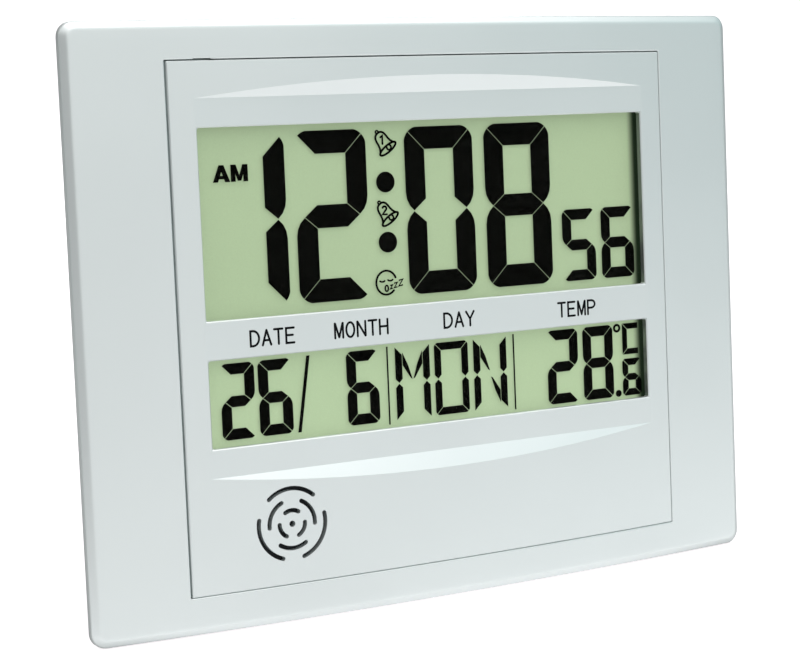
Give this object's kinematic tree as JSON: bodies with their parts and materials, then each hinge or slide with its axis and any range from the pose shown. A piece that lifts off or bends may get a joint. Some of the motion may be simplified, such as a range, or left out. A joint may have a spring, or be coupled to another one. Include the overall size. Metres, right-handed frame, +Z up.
{
  "type": "day clock",
  "caption": "Large-display calendar clock with a bulged silver frame, windows for time and date, temperature reading, battery bay and a fold-out rear leg.",
  "frame": {"origin": "on the table plane, at the middle of the clock's width and depth as it stands leaning on its open leg", "axes": "+X to the viewer's right along the frame's width, +Y from the face to the back, +Z up from the table"},
  "size_m": [0.26, 0.0539, 0.1993],
  "materials": {
    "silver_plastic": "silver sprayed ABS, satin",
    "grey_plastic": "moulded grey ABS, fine satin grain",
    "clear_acrylic": "clear acrylic, polished",
    "polariser_film": "matt polarising film",
    "display_glass": "polished float glass",
    "display_black": "dark liquid-crystal segments",
    "display_backing": "green-grey reflective film",
    "black_rubber": "matt moulded rubber",
    "dark_plastic": "moulded black ABS",
    "circuit_board_laminate": "green solder mask on glass-epoxy",
    "black_resin": "black epoxy and sleeve",
    "bright_metal": "drawn bright steel",
    "zinc_steel": "zinc-plated steel",
    "brass_sheet": "rolled brass sheet",
    "white_ceramic": "silvered piezo ceramic",
    "red_insulation": "red PVC insulation",
    "black_insulation": "black PVC insulation",
    "cell_sleeve": "printed film sleeve on steel can",
    "nickel_strip": "nickel-plated spring strip",
    "button_plastic": "moulded grey plastic, satin"
  },
  "bodies": {
    "clock": {"outer_frame": "silver_plastic", "face_panel": "silver_plastic", "window_lens": "clear_acrylic", "lcd_front_polariser": "polariser_film", "lcd_front_glass": "display_glass", "time_segments": "display_black", "date_segments": "display_black", "lcd_rear_glass": "display_glass", "lcd_reflector": "display_backing", "elastomer_strip_bottom": "black_rubber", "elastomer_strip_top": "black_rubber", "lcd_retainer": "dark_plastic", "circuit_board": "circuit_board_laminate", "clock_chip": "black_resin", "crystal": "bright_metal", "capacitors": "black_resin", "thermistor": "black_resin", "board_screws": "zinc_steel", "buzzer_case": "dark_plastic", "buzzer_disc": "brass_sheet", "buzzer_ceramic": "white_ceramic", "buzzer_wire_red": "red_insulation", "buzzer_wire_black": "black_insulation", "rear_cover": "grey_plastic", "case_screws": "zinc_steel", "battery_upper": "cell_sleeve", "battery_lower": "cell_sleeve", "contact_positive": "nickel_strip", "contact_negative": "nickel_strip", "contact_link": "nickel_strip", "battery_wire_red": "red_insulation", "battery_wire_black": "black_insulation", "leg_pin": "bright_metal", "tact_switch_mode": "dark_plastic", "tact_switch_set": "dark_plastic", "tact_switch_up": "dark_plastic", "tact_switch_down": "dark_plastic", "tact_switch_snooze": "dark_plastic"},
    "leg": {"stand_leg": "grey_plastic", "leg_foot_pad": "black_rubber"},
    "door": {"battery_door": "grey_plastic"},
    "button_mode": {"button_mode": "button_plastic"},
    "button_set": {"button_set": "button_plastic"},
    "button_up": {"button_up": "button_plastic"},
    "button_down": {"button_down": "button_plastic"},
    "button_snooze": {"button_snooze": "button_plastic"}
  },
  "joints": [
    {"name": "leg_hinge", "type": "hinge", "parent": "clock", "child": "leg", "pos_m": [0, 0.00679, 0.06939], "axis": [1, 0, 0], "range_deg": [-20, 0]},
    {"name": "door_slide", "type": "slide", "parent": "clock", "child": "door", "axis": [1, 0, 0], "range_m": [0, 0.005]},
    {"name": "press_mode", "type": "slide", "parent": "clock", "child": "button_mode", "axis": [0, -0.9903, 0.1392], "range_m": [0, 0.0007], "stiffness_N_per_m": 400},
    {"name": "press_set", "type": "slide", "parent": "clock", "child": "button_set", "axis": [0, -0.9903, 0.1392], "range_m": [0, 0.0007], "stiffness_N_per_m": 400},
    {"name": "press_up", "type": "slide", "parent": "clock", "child": "button_up", "axis": [0, -0.9903, 0.1392], "range_m": [0, 0.0007], "stiffness_N_per_m": 400},
    {"name": "press_down", "type": "slide", "parent": "clock", "child": "button_down", "axis": [0, -0.9903, 0.1392], "range_m": [0, 0.0007], "stiffness_N_per_m": 400},
    {"name": "press_snooze", "type": "slide", "parent": "clock", "child": "button_snooze", "axis": [0, -0.9903, 0.1392], "range_m": [0, 0.0007], "stiffness_N_per_m": 400}
  ]
}
